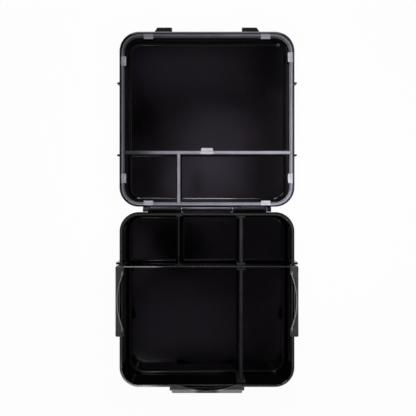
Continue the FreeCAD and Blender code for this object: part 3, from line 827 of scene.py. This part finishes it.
# Floor, cove and wall turned about the middle: radius and height follow a flat run, a quarter circle and a
# straight rise.
def makeStage():
    cove, size, turns = studio["coveRadius"], studio["floorSize"], studio["turns"]
    bend = np.linspace(0, math.pi / 2, studio["coveSteps"])
    flatRadii = studio["flatRadii"]
    radius = np.concatenate([flatRadii, size - cove + cove * np.sin(bend), [size]])
    height = np.concatenate([np.zeros(len(flatRadii)), cove * (1 - np.cos(bend)), [studio["wallHeight"]]])
    turn = np.arange(turns) / turns * 2 * math.pi
    grid = np.stack([radius[:, None] * np.cos(turn), radius[:, None] * np.sin(turn),
                     np.broadcast_to(height[:, None], (len(radius), turns))], -1)
    index, quads = gridQuads(len(radius), turns, False)
    return newPiece("stage", grid.reshape(-1, 3), quads[:, ::-1].tolist() + [index[0].tolist()])


# Mixes two shaders, the second by the factor.
def mixShaders(tree, factor, first, second):
    node = tree.nodes.new("ShaderNodeMixShader")
    for socket, value in zip(node.inputs, (factor, first, second)):
        tree.links.new(value, socket)
    return node.outputs[0]


# White paper: pale diffuse for the light it passes on; seen, mirrored or through glass it also glows up to
# white. Glow = seen * share * (1 - shade). Gloss sees it low on the wall only, the share falls near the box,
# and the shade is the deep shadow under the hinge, its fall along the pin * its fall across.
def paperWhite():
    material = bpy.data.materials.new("paperWhite")
    tree, output = freshTree(material, "ShaderNodeOutputMaterial")
    diffuse = tree.nodes.new("ShaderNodeBsdfDiffuse")
    diffuse.inputs["Color"].default_value = (*studio["floorColour"], 1)
    glow = tree.nodes.new("ShaderNodeEmission")
    glow.inputs["Strength"].default_value = 1.0
    where = objectPlace(tree)
    x, y, z = splitPlace(tree, where)
    rays = tree.nodes.new("ShaderNodeLightPath").outputs
    mirrored = product(tree, rays["Is Glossy Ray"], smoothFall(tree, z, *studio["mirrorTop"]))
    seen = mathNode(tree, "MAXIMUM", rays["Is Camera Ray"], mirrored)
    seen = mathNode(tree, "MAXIMUM", seen, rays["Is Transmission Ray"])
    away = vectorNode(tree, "LENGTH", where)["Value"]
    share = smoothRange(tree, away, *studio["glowRun"], *studio["glow"])
    fromMiddle = mathNode(tree, "ABSOLUTE", x)
    alongPin = smoothFall(tree, fromMiddle, *stepsFrom(pinHigh.x, *studio["shadeEnds"]))
    slit = rangeNode(tree, fromMiddle, *studio["knuckleEnd"], *studio["hingeSlits"])
    offPin = mathNode(tree, "SUBTRACT", mathNode(tree, "SUBTRACT", y, pinY), slit)
    acrossPin = smoothFall(tree, mathNode(tree, "ABSOLUTE", offPin), *studio["hingeShade"])
    lit = mathNode(tree, "SUBTRACT", 1.0, product(tree, alongPin, acrossPin))
    paper = mixShaders(tree, product(tree, seen, share, lit), diffuse.outputs[0], glow.outputs[0])
    tree.links.new(paper, output.inputs["Surface"])
    return material


stage = makeStage()
stage.data.materials.append(paperWhite())


# The ceiling as flat gloss sees it. A place on it is (X / Z, Y / Z), the slope of the ray that leaves for it.
# It is dark with soft patches, and pale cards stand round it.
ceiling = dict(
    lidSide=0.135, baseSide=0.085, changeOver=(-0.03, 0.02),
    tint=(1.0, 0.83, 1.12), plain=(0.8, 0.8, 0.8),       # colours: of the dark part; of cards and bare sky
    added=[                      # middle, size, strength
        ((0.013, 0.118), (0.105, 0.100), 0.40),
        ((0.000, 0.045), (0.105, 0.080), 0.40),
        ((-0.055, 0.045), (0.035, 0.060), 0.18),
        ((-0.045, -0.225), (0.150, 0.120), 0.14),
        ((-0.030, 0.262), (0.140, 0.080), 0.15),
        ((-0.128, -0.088), (0.038, 0.070), 0.16),
    ],
    darkened=[                   # middle, size, share of the light lost
        ((-0.126, 0.165), (0.046, 0.080), 0.98),
        ((-0.108, 0.058), (0.026, 0.036), 0.75),
        ((-0.022, 0.048), (0.014, 0.034), 0.50),
        ((0.135, 0.270), (0.090, 0.105), 0.55),
        ((-0.047, -0.066), (0.062, 0.062), 0.99),
        ((-0.078, -0.056), (0.040, 0.050), 0.90),
    ],
    patchFade=(0.25, 1.0),       # a patch is full out to the first share of its size and gone at the second
    wander=0.014, wanderScale=11.0, wanderDetail=3.0,    # how far, and how finely, noise moves the patches
    sideShade=(0.122, 0.145, 0.40), farShade=(0.275, 0.300, 0.55), nearShade=(0.240, 0.278, 0.22),
    rightCard=dict(start=(0.150, 0.160), end=(0.19, 0.205), reach=(0.30, 0.55), lidSide=1.9, baseSide=0.7),
    leftCard=dict(start=(0.152, 0.164), end=(0.19, 0.205), reach=(0.30, 0.55), lidSide=0.25, baseSide=0.5),
    nearCard=dict(start=(0.326, 0.336), end=(0.37, 0.39), reach=(0.10, 0.20), lidSide=2.0, baseSide=2.0),
    glint=((-0.128, -0.322), (0.052, 0.024), 26.0),      # small lamp that the rim's near left corner catches
    horizon=0.09, tiltFrom=0.90, tiltTo=0.60,    # low light, and the ray's rise where it takes over
    leastRise=0.02,              # keeps the slopes finite at the horizon
)


# One soft round patch: mask = eased fall of |(place - middle) / size| over the patch's fade.
def makeCeilingPatch():
    group, given, result = newGroup(
        "ceilingPatch",
        [("Place", "Vector", None), ("Middle", "Vector", (0, 0, 0)), ("Size", "Vector", (1, 1, 1))],
        [("Mask", "Float")])
    away = vectorNode(group, "SUBTRACT", given.outputs["Place"], given.outputs["Middle"])["Vector"]
    away = vectorNode(group, "DIVIDE", away, given.outputs["Size"])["Vector"]
    length = vectorNode(group, "LENGTH", away)["Value"]
    group.links.new(smoothFall(group, length, *ceiling["patchFade"]), result.inputs["Mask"])
    return group


# A light level that changes over from the base's side to the lid's.
def sideLevel(tree, ahead, sideLevels):
    return smoothRange(tree, ahead, *ceiling["changeOver"], sideLevels["baseSide"], sideLevels["lidSide"])


# A card past one side of the opening: rise over its start * fall over its end * fall past its reach * level.
def ceilingCard(tree, outward, sideways, ahead, card):
    rise = smoothRange(tree, outward, *card["start"])
    fall = smoothFall(tree, outward, *card["end"])
    hand = smoothFall(tree, mathNode(tree, "ABSOLUTE", sideways), *card["reach"])
    return product(tree, rise, fall, hand, sideLevel(tree, ahead, card))


# Plain sky shader of one colour.
def skyLight(tree, colour, strength):
    node = tree.nodes.new("ShaderNodeBackground")
    node.inputs["Color"].default_value = (*colour, 1)
    feed(tree, node.inputs["Strength"], strength)
    return node.outputs[0]


# The sky: dark ceiling = (side level + added patches) * what the dark patches and the opening's edges keep;
# pale = greatest of the cards + glint + a low light towards the horizon, where the ceiling fades. Seen
# directly the sky is plain.
def makeSky():
    world = bpy.data.worlds.new("studioSky")
    bpy.context.scene.world = world
    tree, output = freshTree(world, "ShaderNodeOutputWorld")
    x, y, z = splitPlace(tree, tree.nodes.new("ShaderNodeTexCoord").outputs["Generated"])
    rise = mathNode(tree, "MAXIMUM", z, ceiling["leastRise"])
    across, ahead = mathNode(tree, "DIVIDE", x, rise), mathNode(tree, "DIVIDE", y, rise)
    backAcross, backAhead = (mathNode(tree, "MULTIPLY", slope, -1.0) for slope in (across, ahead))
    place = tree.nodes.new("ShaderNodeCombineXYZ")
    tree.links.new(across, place.inputs[0])
    tree.links.new(ahead, place.inputs[1])
    noise = noiseNode(tree, place.outputs[0], ceiling["wanderScale"], ceiling["wanderDetail"], output="Color")
    wander = ceiling["wander"]
    moved = tree.nodes.new("ShaderNodeVectorMath")
    moved.operation = "MULTIPLY_ADD"
    tree.links.new(noise, moved.inputs[0])
    moved.inputs[1].default_value = (wander * 2,) * 3
    tree.links.new(place.outputs[0], moved.inputs[2])
    patchGroup = makeCeilingPatch()

    # Mask of one patch; the noise moves places by the wander on average, and the middle with them.
    def patch(middle, size):
        centre = (middle[0] + wander, middle[1] + wander, wander)
        node = placeGroup(tree, patchGroup, {"Middle": centre, "Size": (*size, 1.0)})
        tree.links.new(moved.outputs[0], node.inputs["Place"])
        return node.outputs["Mask"]

    level = sideLevel(tree, ahead, ceiling)
    for middle, size, strength in ceiling["added"]:
        level = mathNode(tree, "ADD", level, product(tree, patch(middle, size), strength))
    for middle, size, lost in ceiling["darkened"]:
        level = product(tree, level, rangeNode(tree, patch(middle, size), 0.0, 1.0, 1.0, 1.0 - lost))
    besides = mathNode(tree, "ABSOLUTE", across)
    for slope, name in ((besides, "sideShade"), (ahead, "farShade"), (backAhead, "nearShade")):
        start, end, kept = ceiling[name]
        level = product(tree, level, smoothRange(tree, slope, start, end, 1.0, kept))
    pale = 0.0
    for name, outward, sideways in (("rightCard", across, ahead), ("leftCard", backAcross, ahead),
                                    ("nearCard", backAhead, across)):
        pale = mathNode(tree, "MAXIMUM", pale, ceilingCard(tree, outward, sideways, ahead, ceiling[name]))
    middle, size, strength = ceiling["glint"]
    pale = mathNode(tree, "ADD", pale, product(tree, patch(middle, size), strength))
    level = product(tree, level, smoothRange(tree, z, ceiling["tiltTo"], ceiling["tiltFrom"]))
    pale = mathNode(tree, "ADD", pale, smoothRange(
        tree, z, ceiling["tiltFrom"], ceiling["tiltTo"], 0.0, ceiling["horizon"]))
    both = tree.nodes.new("ShaderNodeAddShader")
    tree.links.new(skyLight(tree, ceiling["tint"], level), both.inputs[0])
    tree.links.new(skyLight(tree, ceiling["plain"], pale), both.inputs[1])
    seen = tree.nodes.new("ShaderNodeLightPath").outputs["Is Camera Ray"]
    sky = mixShaders(tree, seen, both.outputs[0], skyLight(tree, ceiling["plain"], 1.0))
    tree.links.new(sky, output.inputs["Surface"])


makeSky()


# Rectangular soft lamp, turned from its place to its aim, that the camera never sees; power in watts.
def softLamp(name, place, aim, size, power, seenInGloss=True):
    data = bpy.data.lights.new(name, "AREA")
    data.shape = "RECTANGLE"
    data.size, data.size_y = size
    data.energy = power
    lamp = addObject(name, data)
    lamp.location = place
    lamp.rotation_euler = (Vector(aim) - Vector(place)).to_track_quat("-Z", "Y").to_euler()
    lamp.visible_camera = False
    lamp.visible_glossy = seenInGloss


# A close soft lamp over the hinge's right, strips past the lid for the rounded edges, one past the lid's left
# corner and one low at the near left for the base's edges.
overHinge = (0.060, 0.140)
hingeAim = (0.0, 0.11, 0.04)
softLamp("overLamp", (*overHinge, high.z + 0.27), (*overHinge, 0.0), (0.16, 0.16), 0.80, seenInGloss=False)
softLamp("backHigh", (-0.067, 1.175, 0.786), hingeAim, (0.25, 0.57), 0.36)
softLamp("backHighLeft", (-0.218, 1.175, 0.786), hingeAim, (0.05, 0.57), 0.46)
softLamp("backLow", (0.010, 1.30, 0.375), hingeAim, (0.17, 0.126), 2.4)
softLamp("backLowWide", (-0.007, 1.32, 0.378), hingeAim, (0.38, 0.126), 2.4)
softLamp("backCorner", (-0.76, 0.98, 0.45), (0.08, 0.12, 0.04), (0.55, 0.30), 2.6)
softLamp("nearLeft", (-0.62, -1.02, 0.30), (0.0, -0.02, 0.04), (0.45, 0.16), 4.0)

view = dict(lens=47.2, sensor=36.0, clipStart=0.02, place=(0.00125, 0.1125, 0.716))
cameraData = bpy.data.cameras.new("camera")
cameraData.lens = view["lens"]
cameraData.sensor_width = view["sensor"]
cameraData.clip_start = view["clipStart"]
camera = addObject("camera", cameraData)
camera.location = view["place"]
bpy.context.scene.camera = camera
bpy.context.scene.view_settings.view_transform = "Standard"
print("stage, light and camera set")
